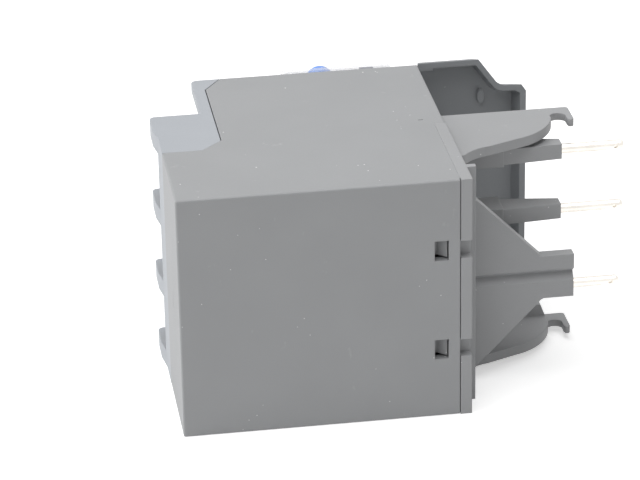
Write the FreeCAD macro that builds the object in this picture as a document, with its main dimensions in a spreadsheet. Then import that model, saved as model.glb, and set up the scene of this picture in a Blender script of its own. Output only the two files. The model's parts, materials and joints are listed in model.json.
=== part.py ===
import FreeCAD, Part
import math
import os
from types import SimpleNamespace

import Sketcher

# Thermal overload relay, three poles, one 45 mm module wide, in millimetres.
#
# The frame is that of the relay lying on its side: +Z is its width, the back (mounting) face looks
# along +Y, the front with the controls along -Y, the load terminals along +X and the connecting pins
# along -X. The origin is the centre of the resting side face.
#
# Sizes are given the way a drawing of the relay gives them, as distances from three faces:
#   along: from the load end towards the pins        (X = body_length / 2 - along)
#   deep:  from the back face towards the controls   (Y = body_depth / 2 - deep)
#   up:    from the resting side to the other side   (Z = up)

DRIVING = {
    # housing
    "body_length": 51.0,
    "body_depth": 53.4,
    "body_width": 45.0,
    "wall": 1.8,
    "edge_round": 0.35,
    "end_plate": 2.0,
    "frame_gap": 0.15,
    "frame_gap_depth": 0.9,
    "lip_deep": 25.3,
    "lip_gap": 0.25,
    "tick_depth": 0.2,
    "slit_deep": 9.9,
    "slit_up": 20.3,
    "slit_width": 0.3,
    "slit_height": 3.2,
    "slit_depth": 0.4,
    # terminal moulding at the load end
    "ledge_deep": 37.5,
    "ledge_overhang": 0.6,
    "ledge_thick": 1.5,
    "ledge_round": 1.1,
    "ledge_drop": 6.0,
    "step_along": 8.6,
    "seam_along": 10.9,
    "seam_deep": 20.9,
    "seam_chamfer": 3.8,
    "seam_gap": 0.18,
    "seam_front_deep": 48.6,
    "seam_slope": 3.2,
    "bay_deep": 28.0,
    "partition": 3.1,
    "bay_mouth": 1.0,
    "bay_reach": 0.8,
    "load_screw_along": 4.8,
    "load_screw_hole": 3.2,
    "aux_pitch": 10.6,
    "aux_screw_along": 15.6,
    "aux_screw_hole": 2.5,
    "aux_entry_deep": 40.4,
    "aux_entry_end": 46.0,
    "aux_entry_half": 2.8,
    "aux_block_end": 22.0,
    "aux_block_deep": 38.0,
    "aux_bar_deep": 41.2,
    "aux_bar_thick": 0.8,
    "aux_bar_half": 1.5,
    # connecting pins
    "pin_radius": 0.9,
    "pin_pitch": 11.6,
    "pin_up": 39.75,
    "pin_deep": 22.0,
    "low_pin_deep": 15.0,
    "pin_root": 45.0,
    "pin_tip": 82.5,
    "low_pin_tip": 80.4,
    "pin_taper": 0.5,
    "pin_tip_radius": 0.55,
    "pin_flat_length": 3.1,
    "pin_flat_depth": 0.55,
    "dimple_inset": 1.5,
    "dimple_radius": 0.35,
    "dimple_depth": 0.4,
    "sleeve_end": 71.1,
    "sleeve_shoulder": 60.4,
    "boss_half": 2.2,
    # hooks, web and guard on the docking end
    "rib_reach": 1.6,
    "rib_deep": 5.2,
    "rib_thick": 1.2,
    "hook_inset": 1.2,
    "hook_thick": 1.8,
    "hook_thinning": 0.45,
    "hook_deep": 31.3,
    "hook_tip": 74.3,
    "web_deep": 12.2,
    "web_thick": 2.2,
    "web_end": 71.7,
    "web_up": 19.4,
    "web_neck": 8.2,
    "guard_deep": 54.0,
    "guard_end": 71.6,
    "guard_wall": 1.15,
    "guard_tray": 3.0,
    "guard_floor": 1.5,
    "guard_taper": 10.0,
    # snap latches
    "latch_up": 31.9,
    "latch_low_up": 13.0,
    "latch_half": 1.55,
    "window_height": 3.75,
    "window_near": 44.4,
    "window_length": 2.5,
    "notch_height": 3.25,
    # raised control panel and cover
    "panel_start": 23.0,
    "panel_end": 48.6,
    "panel_low": 2.0,
    "panel_high": 43.0,
    "panel_face": 58.0,
    "panel_wall": 1.5,
    "panel_side": 0.9,
    "panel_round": 0.6,
    "cover_start": 25.9,
    "cover_end": 45.4,
    "cover_low": 1.8,
    "cover_high": 43.2,
    "cover_face": 59.9,
    "cover_thick": 1.2,
    "hinge_along": 46.9,
    "hinge_deep": 59.3,
    "hinge_radius": 1.1,
    "lug_low": 8.0,
    "lug_high": 33.5,
    "lug_width": 3.5,
    "hinge_pin_radius": 0.5,
    # controls
    "dial_along": 36.0,
    "dial_up": 13.5,
    "dial_radius": 6.0,
    "dial_shaft": 2.0,
    "button_travel": 2.0,
    "spring_height": 2.9,
    "reset_along": 34.1,
    "reset_up": 39.1,
    "reset_radius": 2.6,
    "reset_face": 65.0,
    "stop_along": 39.2,
    "stop_up": 39.2,
    "stop_radius": 1.8,
    "stop_face": 60.6,
    "test_along": 42.6,
    "test_up": 40.0,
    "test_length": 2.6,
    "test_height": 3.6,
    "test_face": 62.5,
    "flag_along": 30.0,
    "flag_up": 25.0,
    "running_fit": 0.08,
    # poles inside
    "strip_thick": 0.8,
    "strip_low": 14.0,
    "strip_high": 20.0,
    "strip_free_end": 13.0,
    "strip_root": 44.0,
    "link_thick": 1.0,
    "link_margin": 1.5,
    "winding_start": 24.0,
    "winding_pitch": 2.6,
    "strap_near": 3.0,
    "strap_deep": 33.5,
    "strap_thick": 1.2,
    "strap_width": 5.2,
    # trip mechanism
    "slide_near": 12.6,
    "slide_far": 17.0,
    "slide_deep": 22.5,
    "slide_thick": 2.5,
    "slide_low": 3.6,
    "slide_high_gap": 4.4,
    "lever_along": 33.0,
    "lever_up": 32.2,
    "lever_deep": 31.5,
    "trip_along": 45.0,
    "trip_up": 25.0,
    "plate_deep": 36.5,
    "plate_thick": 1.5,
    "pivot_radius": 0.8,
}

TOLERANCE = 0.01  # for telling where an edge lies
OVERCUT = 0.5  # how far a cut starts or ends outside the material
SPRING_TURNS = 3
WIRE_SIDES = 6
WINDING_TURNS = 7

DOC = FreeCAD.newDocument("thermal_overload_relay")
SHEET = DOC.addObject("Spreadsheet::Sheet", "Dims")
PIECES = []


class Dim:
    """A size that carries its value and the sheet expression it comes from."""

    def __init__(self, value, text):
        self.value = value
        self.text = text

    def __add__(self, other):
        return Dim(self.value + number(other), f"({self.text} + {words(other)})")

    def __radd__(self, other):
        return Dim(number(other) + self.value, f"({words(other)} + {self.text})")

    def __sub__(self, other):
        return Dim(self.value - number(other), f"({self.text} - {words(other)})")

    def __rsub__(self, other):
        return Dim(number(other) - self.value, f"({words(other)} - {self.text})")

    def __mul__(self, other):
        return Dim(self.value * number(other), f"({self.text} * {words(other)})")

    def __rmul__(self, other):
        return self * other

    def __truediv__(self, other):
        return Dim(self.value / number(other), f"({self.text} / {words(other)})")


def number(size):
    return size.value if isinstance(size, Dim) else float(size)


def words(size):
    return size.text if isinstance(size, Dim) else f"{float(size):.6g}"


def fill_sheet():
    """Write the driving sizes into the sheet and hand them back by name."""
    named = SimpleNamespace()
    for row, (name, value) in enumerate(DRIVING.items(), start=1):
        SHEET.set(f"A{row}", name.replace("_", " "))
        SHEET.set(f"B{row}", str(value))
        SHEET.setAlias(f"B{row}", name)
        setattr(named, name, Dim(value, f"Dims.{name}"))
    DOC.recompute()
    return named


D = fill_sheet()
D.plate_near = D.body_length - D.end_plate
D.frame_root = D.body_length - 0.2
D.bay_pitch = (D.body_width - D.partition) / 3
D.bay_width = D.bay_pitch - D.partition
POLES = [D.partition + D.bay_width / 2 + D.bay_pitch * pole for pole in range(3)]
PIN_UPS = [D.pin_up - D.pin_pitch * 2, D.pin_up - D.pin_pitch, D.pin_up]
PIN_DEEPS = [D.low_pin_deep, D.pin_deep, D.pin_deep]
PIN_TIPS = [D.low_pin_tip, D.pin_tip, D.pin_tip]
AUX_UPS = [D.body_width / 2 + D.aux_pitch * (place - 1.5) for place in range(4)]
LUG_STARTS = (D.lug_low, D.lug_high)
PIVOTS = {
    "lever_pivot": (D.lever_along, D.lever_up),
    "trip_pivot": (D.trip_along, D.trip_up),
}


def x_at(along):
    return D.body_length / 2 - along


def y_at(deep):
    return D.body_depth / 2 - deep


def bind(thing, name, size):
    """Set one property, and tie it to the sheet where the size comes from there."""
    if isinstance(size, Dim):
        thing.setExpression(name, size.text)


def placed(thing, along, deep, up, rotation=None):
    """Put a primitive with its own origin at one point of the drawing."""
    spot = [x_at(along), y_at(deep), up]
    turn = rotation or FreeCAD.Rotation()
    thing.Placement = FreeCAD.Placement(FreeCAD.Vector(*[number(s) for s in spot]), turn)
    for axis, size in zip("xyz", spot):
        bind(thing, f"Placement.Base.{axis}", size)
    return thing


# ---- sketches and features -------------------------------------------------------------------

# How a sketch lies for a prism that runs along, deep or up: its plane, the place of that plane,
# the map from drawing sizes to sketch sizes, and whether the map mirrors the outline.
VIEWS = {
    "along": ("YZ_Plane", lambda low, high: x_at(high), lambda p, q: (y_at(p), q), True),
    "deep": ("XZ_Plane", lambda low, high: low - D.body_depth / 2, lambda p, q: (x_at(p), q), True),
    "up": ("XY_Plane", lambda low, high: low, lambda p, q: (x_at(p), y_at(q)), False),
}


def new_body(label):
    body = DOC.addObject("PartDesign::Body", "Body_" + label)
    body.Label = label
    PIECES.append(body)
    return body


def new_sketch(body, plane, offset):
    sketch = body.newObject("Sketcher::SketchObject", "Sketch")
    support = next(item for item in body.Origin.OriginFeatures if item.Role == plane)
    sketch.AttachmentSupport = [(support, "")]
    sketch.MapMode = "FlatFace"
    shift = FreeCAD.Vector(0, 0, number(offset))
    sketch.AttachmentOffset = FreeCAD.Placement(shift, FreeCAD.Rotation())
    bind(sketch, "AttachmentOffset.Base.z", offset)
    return sketch


def pin_point(sketch, edge, end, spot):
    """Hold one end of a sketch edge at its distances from the sketch origin."""
    for kind, size in zip(("DistanceX", "DistanceY"), spot):
        place = sketch.addConstraint(Sketcher.Constraint(kind, -1, 1, edge, end, number(size)))
        bind(sketch, f"Constraints[{place}]", size)


def arc_edge(start, end, radius):
    """The short arc from start to end; its centre is on the left where radius is positive."""
    chord = end - start
    middle = (start + end) * 0.5
    left = FreeCAD.Vector(-chord.y, chord.x, 0).normalize()
    rise = math.sqrt(max(radius * radius - chord.Length ** 2 / 4, 0))
    centre = middle + left * math.copysign(rise, radius)
    first, last = (start, end) if radius > 0 else (end, start)
    angles = [math.atan2(point.y - centre.y, point.x - centre.x) for point in (first, last)]
    circle = Part.Circle(centre, FreeCAD.Vector(0, 0, 1), abs(radius))
    return Part.ArcOfCircle(circle, angles[0], angles[1])


def draw_outline(sketch, corners, to_sketch, mirrored):
    """Close an outline through corners (p, q) or (p, q, radius of the arc that starts there)."""
    spots = [to_sketch(corner[0], corner[1]) for corner in corners]
    points = [FreeCAD.Vector(number(x), number(y), 0) for x, y in spots]
    ends = []
    for place, corner in enumerate(corners):
        start = points[place]
        end = points[(place + 1) % len(points)]
        if len(corner) == 2:
            edge = sketch.addGeometry(Part.LineSegment(start, end))
            ends.append((edge, 1, 2))
            continue
        radius = -corner[2] if mirrored else corner[2]
        edge = sketch.addGeometry(arc_edge(start, end, radius))
        ends.append((edge, 1, 2) if radius > 0 else (edge, 2, 1))
        sketch.addConstraint(Sketcher.Constraint("Radius", edge, abs(radius)))
    for place, (edge, first, _) in enumerate(ends):
        before, _, last = ends[place - 1]
        sketch.addConstraint(Sketcher.Constraint("Coincident", before, last, edge, first))
        pin_point(sketch, edge, first, spots[place])


def draw_circle(sketch, centre, radius, to_sketch):
    spot = to_sketch(*centre)
    middle = FreeCAD.Vector(number(spot[0]), number(spot[1]), 0)
    edge = sketch.addGeometry(Part.Circle(middle, FreeCAD.Vector(0, 0, 1), number(radius)))
    pin_point(sketch, edge, 3, spot)
    place = sketch.addConstraint(Sketcher.Constraint("Radius", edge, number(radius)))
    bind(sketch, f"Constraints[{place}]", radius)


def extrude(body, kind, view, low, high, outlines):
    """Pad or pocket one or more closed outlines from low to high in the given view."""
    plane, offset, to_sketch, mirrored = VIEWS[view]
    sketch = new_sketch(body, plane, offset(low, high))
    for outline in outlines:
        if isinstance(outline, SimpleNamespace):
            draw_circle(sketch, outline.centre, outline.radius, to_sketch)
        else:
            draw_outline(sketch, outline, to_sketch, mirrored)
    before = body.Shape.Volume if body.Tip else 0.0
    feature = body.newObject("PartDesign::" + kind, kind)
    feature.Profile = sketch
    feature.Length = number(high - low)
    bind(feature, "Length", high - low)
    feature.Reversed = kind == "Pocket"
    DOC.recompute()
    grown = body.Shape.Volume - before
    if (kind == "Pad") != (grown > 0) or abs(grown) < 1e-6:
        raise ValueError(f"{body.Label}: {kind} in view {view} changed the volume by {grown:.4f}")
    return feature


def pad(body, view, low, high, *outlines):
    return extrude(body, "Pad", view, low, high, outlines)


def pocket(body, view, low, high, *outlines):
    return extrude(body, "Pocket", view, low, high, outlines)


def disc(p, q, radius):
    return SimpleNamespace(centre=(p, q), radius=radius)


def oblong(low_p, high_p, low_q, high_q):
    return [(low_p, low_q), (high_p, low_q), (high_p, high_q), (low_p, high_q)]


def around(centre_p, half_p, centre_q, half_q):
    return oblong(centre_p - half_p, centre_p + half_p, centre_q - half_q, centre_q + half_q)


def spread(middle, half):
    return (middle - half, middle + half)


def edges_where(shape, test):
    """Names of the edges whose middle point and direction pass the test; circles have none."""
    names = []
    for place, edge in enumerate(shape.Edges, start=1):
        straight = isinstance(edge.Curve, Part.Line)
        direction = edge.Curve.Direction if straight else FreeCAD.Vector()
        if test(edge.CenterOfMass, direction):
            names.append(f"Edge{place}")
    return names


def is_deep(middle, deep):
    """Whether an edge's middle point lies at this depth."""
    return abs(number(D.body_depth) / 2 - middle.y - number(deep)) < TOLERANCE


def round_edges(body, radius, test):
    base = body.Tip
    names = edges_where(base.Shape, test)
    if not names:
        raise ValueError(f"{body.Label}: no edge to round")
    feature = body.newObject("PartDesign::Fillet", "Fillet")
    feature.Base = (base, names)
    feature.Radius = number(radius)
    bind(feature, "Radius", radius)
    DOC.recompute()
    return feature


def loft(body, near, near_outline, far, far_outline):
    """A tapering block between two outlines that face along the relay."""
    plane, _, to_sketch, mirrored = VIEWS["along"]
    sketches = []
    for along, outline in ((near, near_outline), (far, far_outline)):
        sketch = new_sketch(body, plane, x_at(along))
        draw_outline(sketch, outline, to_sketch, mirrored)
        sketches.append(sketch)
    feature = body.newObject("PartDesign::AdditiveLoft", "AdditiveLoft")
    feature.Profile = sketches[0]
    feature.Sections = [sketches[1]]
    feature.Ruled = True
    DOC.recompute()
    return feature


# ---- primitives ------------------------------------------------------------------------------


def block(name, along, deep, up):
    """A box between two distances in each direction."""
    box = DOC.addObject("Part::Box", name)
    for side, (low, high) in (("Length", along), ("Width", deep), ("Height", up)):
        setattr(box, side, number(high - low))
        bind(box, side, high - low)
    return placed(box, along[1], deep[1], up[0])


TURNS = {
    "along": FreeCAD.Rotation(FreeCAD.Vector(0, 1, 0), 90),
    "deep": FreeCAD.Rotation(FreeCAD.Vector(1, 0, 0), -90),
    "up": FreeCAD.Rotation(),
}


def rod(name, view, low, high, centre, radius):
    """A cylinder from low to high that runs along, deep or up; centre is the other two sizes."""
    cylinder = DOC.addObject("Part::Cylinder", name)
    cylinder.Radius = number(radius)
    cylinder.Height = number(high - low)
    bind(cylinder, "Radius", radius)
    bind(cylinder, "Height", high - low)
    p, q = centre
    spots = {"along": (high, p, q), "deep": (p, high, q), "up": (p, q, low)}
    return placed(cylinder, *spots[view], rotation=TURNS[view])


def fuse(name, *things):
    joined = DOC.addObject("Part::MultiFuse", name)
    joined.Shapes = list(things)
    return joined


def cut(name, base, *tools):
    result = DOC.addObject("Part::Cut", name)
    result.Base = base
    result.Tool = tools[0] if len(tools) == 1 else fuse(name + "_tools", *tools)
    return result


def group(name, *things):
    """Separate identical solids kept together in one piece file."""
    together = DOC.addObject("Part::Compound", name)
    together.Links = list(things)
    return together


def keep(thing, label):
    thing.Label = label
    PIECES.append(thing)
    return thing


# ---- housing ---------------------------------------------------------------------------------


def rear_housing():
    """Back shell: back wall, load-end wall and both side walls, with two latch windows."""
    body = new_body("rear_housing")
    front = D.body_depth
    outline = [
        (0, 0),
        (D.plate_near, 0),
        (D.plate_near, front),
        (D.seam_along + D.seam_slope, front),
        (D.seam_along, D.seam_front_deep),
        (D.seam_along, D.seam_deep + D.seam_chamfer),
        (D.seam_along - D.seam_chamfer, D.seam_deep),
        (0, D.seam_deep),
    ]
    pad(body, "up", 0, D.body_width, outline)
    round_edges(body, D.edge_round, on_back_rim)
    cavity = oblong(D.wall, D.body_length, D.wall, D.body_depth + 1)
    pocket(body, "up", D.wall, D.body_width - D.wall, cavity)
    for middle in (D.latch_up, D.latch_low_up):
        far = D.window_near + D.window_length
        half = D.window_height / 2
        window = oblong(D.window_near, far, middle - half, middle + half)
        pocket(body, "deep", 0, D.wall, window)
    add_slide_rails(body)
    slit_end = D.slit_deep + D.slit_width
    slit = oblong(D.slit_deep, slit_end, D.slit_up, D.slit_up + D.slit_height)
    pocket(body, "along", 0 - OVERCUT, D.slit_depth, slit)
    gap_near = D.plate_near - D.frame_gap
    gap = oblong(gap_near, D.plate_near + OVERCUT, 0 - OVERCUT, D.body_width + OVERCUT)
    pocket(body, "deep", 0 - OVERCUT, D.frame_gap_depth, gap)
    add_lips(body)
    return body


def add_lips(body):
    """Lips of the side walls that reach over the narrow part of the end plate, and a tick mark."""
    lip = oblong(D.plate_near - 0.1, D.body_length - D.lip_gap, D.lip_deep, D.body_depth)
    tick_near, tick_deep = D.window_near + 2.0, D.lip_deep + 1.9
    tick = oblong(tick_near, tick_near + 0.9, tick_deep, tick_deep + 0.25)
    for low, outer in ((0, 0), (D.body_width - D.wall, D.body_width)):
        pad(body, "up", low, low + D.wall, lip)
        pocket(body, "up", outer - D.tick_depth, outer + D.tick_depth, tick)


def on_back_rim(middle, direction):
    """The edges round the back face, and its two corners at the load end."""
    back = number(D.body_depth) / 2
    load_end = number(D.body_length) / 2
    on_back = abs(middle.y - back) < TOLERANCE and middle.x > TOLERANCE - load_end
    on_load_side = abs(middle.x - load_end) < TOLERANCE and abs(direction.y) > 0.9
    at_plate = abs(direction.z) > 0.9 and middle.x < 0
    return (on_back or on_load_side) and not at_plate


def add_slide_rails(body):
    """Two pairs of rails on the side walls that guide the ends of the trip slide."""
    gap = 0.3
    near = D.slide_near + 2.2
    far = D.slide_far + gap
    low_rail = (D.slide_deep - gap - 1.4, D.slide_deep - gap)
    high_rail = (D.slide_deep + D.slide_thick + gap, D.slide_deep + D.slide_thick + gap + 1.4)
    for side in ((D.wall, D.wall + 4.5), (D.body_width - D.wall - 5.5, D.body_width - D.wall)):
        for rail in (low_rail, high_rail):
            pad(body, "up", side[0], side[1], oblong(near, far, rail[0], rail[1]))


def front_housing():
    """Terminal moulding at the load end with the auxiliary terminal block and the front plate."""
    body = new_body("front_housing")
    front = D.body_depth
    seam = D.seam_along - D.seam_gap
    profile = [
        (0, D.seam_deep),
        (D.seam_along - D.seam_chamfer, D.seam_deep),
        (seam, D.seam_deep + D.seam_chamfer - D.seam_gap),
        (seam, D.seam_front_deep),
        (seam + D.seam_slope, front),
        (D.step_along, front),
        (D.step_along, D.ledge_deep),
        (0 - D.ledge_overhang, D.ledge_deep),
        (0 - D.ledge_overhang, D.ledge_deep - D.ledge_drop),
        (0, D.bay_deep - 0.6),
    ]
    pad(body, "up", 0, D.body_width, profile)
    inner = (D.wall, D.body_width - D.wall)
    block_outline = oblong(D.seam_along - OVERCUT, D.aux_block_end, D.aux_block_deep, front)
    pad(body, "up", inner[0], inner[1], block_outline)
    plate = oblong(D.aux_block_end - OVERCUT, D.plate_near, front - D.wall, front)
    pad(body, "up", inner[0], inner[1], plate)
    cut_load_bays(body)
    cut_aux_terminals(body)
    bore_dial_hole(body)
    round_edges(body, D.ledge_round, on_ledge_corner)
    round_edges(body, D.edge_round, on_step_corner)
    return body


def on_ledge_corner(middle, direction):
    """The outer corners of the ledge's partitions, where they run up."""
    ahead = middle.x - number(D.body_length) / 2
    return abs(direction.z) > 0.9 and ahead > 0 and is_deep(middle, D.ledge_deep)


def on_step_corner(middle, direction):
    """The front corner of the step, where it runs up."""
    along = number(D.body_length) / 2 - middle.x
    at_step = abs(along - number(D.step_along)) < TOLERANCE and is_deep(middle, D.body_depth)
    return abs(direction.z) > 0.9 and at_step


def cut_load_bays(body):
    """Three open bays for the wires, each with a screw hole through the ledge and a strap slot."""
    roof = D.ledge_deep - D.ledge_thick
    outside = 0 - D.ledge_overhang - OVERCUT
    bay_end = D.step_along + D.bay_reach
    for middle in POLES:
        low, high = spread(middle, D.bay_width / 2)
        pocket(body, "deep", D.bay_deep, roof, oblong(outside, bay_end, low, high))
        hole = disc(D.load_screw_along, middle, D.load_screw_hole)
        mouth = oblong(outside, D.bay_mouth, low, high)
        for opening in (hole, mouth):
            pocket(body, "deep", roof - OVERCUT, D.ledge_deep + OVERCUT, opening)
        low, high = spread(middle, D.strap_width / 2)
        slot = oblong(bay_end - OVERCUT, D.seam_along + OVERCUT, low, high)
        pocket(body, "deep", D.strap_deep, D.strap_deep + D.strap_thick, slot)


def cut_aux_terminals(body):
    """Four small terminals: a wire entry from the step and a screw hole from the front."""
    entry_end = D.aux_screw_along + 3.4
    for middle in AUX_UPS:
        low, high = spread(middle, D.aux_entry_half)
        entry = oblong(D.step_along - OVERCUT, entry_end, low, high)
        pocket(body, "deep", D.aux_entry_deep, D.aux_entry_end, entry)
        hole = disc(D.aux_screw_along, middle, D.aux_screw_hole)
        pocket(body, "deep", D.aux_entry_end - OVERCUT, D.body_depth + OVERCUT, hole)
        low, high = spread(middle, D.aux_bar_half)
        bar = oblong(entry_end - OVERCUT, D.aux_block_end + OVERCUT, low, high)
        pocket(body, "deep", D.aux_bar_deep, D.aux_bar_deep + D.aux_bar_thick, bar)


def bore_dial_hole(body):
    """Hole for the dial shaft in the front plate."""
    low = D.body_depth - D.wall - OVERCUT
    hole = disc(D.dial_along, D.dial_up, D.dial_shaft + D.running_fit)
    pocket(body, "deep", low, D.body_depth + OVERCUT, hole)


def docking_frame():
    """End plate with the hooks, pin sleeves, web and snap latches that meet the contactor."""
    body = new_body("docking_frame")
    plate = oblong(0, D.body_depth, 0, D.body_width)
    pad(body, "along", D.plate_near, D.body_length, plate)
    for low in (0 - D.wall, D.body_width - D.wall):
        corner = oblong(D.lip_deep, D.body_depth + OVERCUT, low, low + D.wall * 2)
        pocket(body, "along", D.plate_near - OVERCUT, D.body_length + OVERCUT, corner)
    rib = oblong(D.rib_deep, D.rib_deep + D.rib_thick, 0, D.body_width)
    pad(body, "along", D.frame_root, D.body_length + D.rib_reach, rib)
    cut_frame_notches(body)
    add_hooks(body)
    add_web(body)
    add_sleeves(body)
    cut_web_groove(body)
    for up, deep in zip(PIN_UPS, PIN_DEEPS):
        socket = around(deep, D.pin_radius, up, D.pin_radius)
        pocket(body, "along", D.pin_root - OVERCUT, D.web_end + OVERCUT, socket)
    add_latches(body)
    return body


def cut_frame_notches(body):
    """Two notches in the back edge of the plate, over the roots of the snap latches."""
    for middle in (D.latch_up, D.latch_low_up):
        half = D.notch_height / 2
        notch = oblong(0 - OVERCUT, D.wall, middle - half, middle + half)
        pocket(body, "along", D.plate_near - OVERCUT, D.body_length + OVERCUT, notch)


def hook_outline():
    """Side view of a hook: straight front edge, hooked tip and a curved back edge to the plate."""
    slot_near = D.hook_tip - 3.9
    slot_far = D.hook_tip - 1.1
    slot_deep = D.hook_deep - 2.4
    return [
        (D.frame_root, D.hook_deep),
        (D.frame_root, D.hook_deep - 18.9),
        (D.body_length + 1.2, D.hook_deep - 18.2, -8),
        (D.body_length + 6.0, D.hook_deep - 15.2),
        (D.hook_tip - 11.8, D.hook_deep - 12.9, 12),
        (slot_near, D.hook_deep - 4.6),
        (slot_near, slot_deep - 1.0, -1.6),
        (slot_far, slot_deep - 1.0),
        (slot_far, D.hook_deep - 5.2),
        (slot_far + 0.2, D.hook_deep - 5.8, 0.55),
        (D.hook_tip, D.hook_deep - 5.4),
        (D.hook_tip, D.hook_deep - 0.6, 0.6),
        (D.hook_tip - 0.6, D.hook_deep),
    ]


def add_hooks(body):
    """Two hooks with a thinner tip and a stiffening rib on the inner side."""
    low_face = D.hook_inset + D.hook_thick
    high_face = D.body_width - D.hook_inset - D.hook_thick
    for low in (D.hook_inset, high_face):
        pad(body, "up", low, low + D.hook_thick, hook_outline())
    tip = oblong(D.hook_tip - 3.9, D.hook_tip + 1, D.hook_deep - 10, D.hook_deep + 1)
    pocket(body, "up", low_face - D.hook_thinning, low_face + OVERCUT, tip)
    pocket(body, "up", high_face - OVERCUT, high_face + D.hook_thinning, tip)
    for face, rise in ((low_face, 1), (high_face, -1)):
        seat, top = face - 0.1 * rise, face + 2.3 * rise
        rib = [
            (D.frame_root, seat),
            (D.hook_tip - 3.8, seat),
            (D.hook_tip - 4.7, top),
            (D.frame_root, top),
        ]
        corners = rib if rise > 0 else rib[::-1]
        pad(body, "deep", D.hook_deep - 1.5, D.hook_deep - 0.3, corners)


def add_web(body):
    """Triangular web that narrows to the neck round the low pin."""
    root = D.frame_root
    neck = D.web_end - 5.9
    half = D.web_neck / 2
    outline = [
        (root, D.hook_inset),
        (root + 1.8, D.hook_inset),
        (neck - 0.5, D.web_up - half - 0.9, -1.4),
        (neck + 0.8, D.web_up - half),
        (D.web_end, D.web_up - half),
        (D.web_end, D.web_up + half),
        (neck, D.web_up + half),
        (root, D.web_up + half + 15.2),
    ]
    pad(body, "deep", D.web_deep, D.web_deep + D.web_thick, outline)


def add_sleeves(body):
    """Insulating sleeves of the two high pins, the low pin's sleeve behind the web, and bosses."""
    root = D.frame_root
    for up, deep in list(zip(PIN_UPS, PIN_DEEPS))[1:]:
        thick_part = oblong(deep - 2.3, deep + 3.2, up - 1.75, up + 1.75)
        pad(body, "along", root, D.sleeve_shoulder, thick_part)
        near_end = oblong(deep - 2.0, deep + 2.8, up - 1.5, up + 1.5)
        far_end = oblong(deep - 1.3, deep + 1.3, up - 1.4, up + 1.4)
        loft(body, D.sleeve_shoulder - 0.2, near_end, D.sleeve_end, far_end)
    low_up, low_deep = PIN_UPS[0], PIN_DEEPS[0]
    low_sleeve = oblong(D.web_deep + 1, low_deep + 1.8, low_up - 1.25, low_up + 1.8)
    pad(body, "along", root, D.web_end, low_sleeve)
    for up, deep in zip(PIN_UPS, PIN_DEEPS):
        pad(body, "along", D.pin_root, D.plate_near + 0.2, around(deep, D.boss_half, up, D.boss_half))


def cut_web_groove(body):
    """Shallow lengthwise groove in the back of the web, steep above and gentle below."""
    groove = [
        (D.web_deep - 0.4, D.web_up + 2.1),
        (D.web_deep + 0.8, D.web_up),
        (D.web_deep - 0.4, D.web_up - 1.35),
    ]
    pocket(body, "along", D.body_length + D.rib_reach, D.web_end + 0.5, groove)


def add_latches(body):
    """Two arms that reach into the back shell and snap their noses into its windows."""
    for middle in (D.latch_up, D.latch_low_up):
        low, high = spread(middle, D.latch_half)
        arm = oblong(D.window_near + 0.1, D.plate_near + 0.2, D.wall + 0.3, D.wall + 1.5)
        pad(body, "up", low, high, arm)
        nose = [
            (D.window_near + 0.4, D.wall + 0.5),
            (D.window_near + 2.3, D.wall + 0.5),
            (D.window_near + 2.3, 0.7),
        ]
        pad(body, "up", low, high, nose)


def guard_outline(inset):
    """Front view of the guard: full width at the relay, shoulders cut back towards the pins."""
    end = D.guard_end - inset
    slope = inset * 0.4
    shoulder = D.guard_end - 9.1 - slope
    valley = D.guard_end - 5.7 - slope
    top = D.body_width - inset
    upper = [
        (end, D.body_width - 6.9 - slope),
        (end - 0.9, top - 5.6),
        (end - 3.9 + slope, top - 5.5, -3.2),
        (valley, top - 4.7),
        (shoulder, top),
        (D.body_length, top),
    ]
    lower = [
        (D.body_length, inset),
        (shoulder, inset),
        (valley, inset + 4.7, -3.2),
        (end - 3.9 + slope, inset + 5.5),
        (end - 0.9, inset + 5.6),
        (end, 6.9 + slope),
    ]
    return upper + lower


def terminal_shroud():
    """Tray-shaped guard in front of the pins, open towards the back, with slanting side walls."""
    body = new_body("terminal_shroud")
    floor = D.guard_deep + D.guard_tray
    face = floor + D.guard_floor
    tray = pad(body, "deep", D.guard_deep, face, guard_outline(0))
    hollow = pocket(body, "deep", D.guard_deep, floor, guard_outline(D.guard_wall))
    for feature in (tray, hollow):
        feature.TaperAngle = 0 - number(D.guard_taper)
    DOC.recompute()
    seat_inset = 3
    seat = oblong(D.plate_near + 0.4, D.body_length + 0.3, seat_inset, D.body_width - seat_inset)
    pad(body, "deep", D.body_depth, face, seat)
    for low in (D.guard_wall - 0.1, D.body_width - D.guard_wall - 0.45):
        thick_rim = oblong(D.body_length, D.body_length + 2.9, low, low + 0.55)
        pad(body, "deep", D.guard_deep, floor + 0.1, thick_rim)
    nub = disc(D.guard_end - 8.2, D.body_width - 8.0, 1.3)
    pad(body, "deep", floor - 0.7, floor + 0.1, nub)
    return body


# ---- controls on the front -------------------------------------------------------------------


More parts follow.
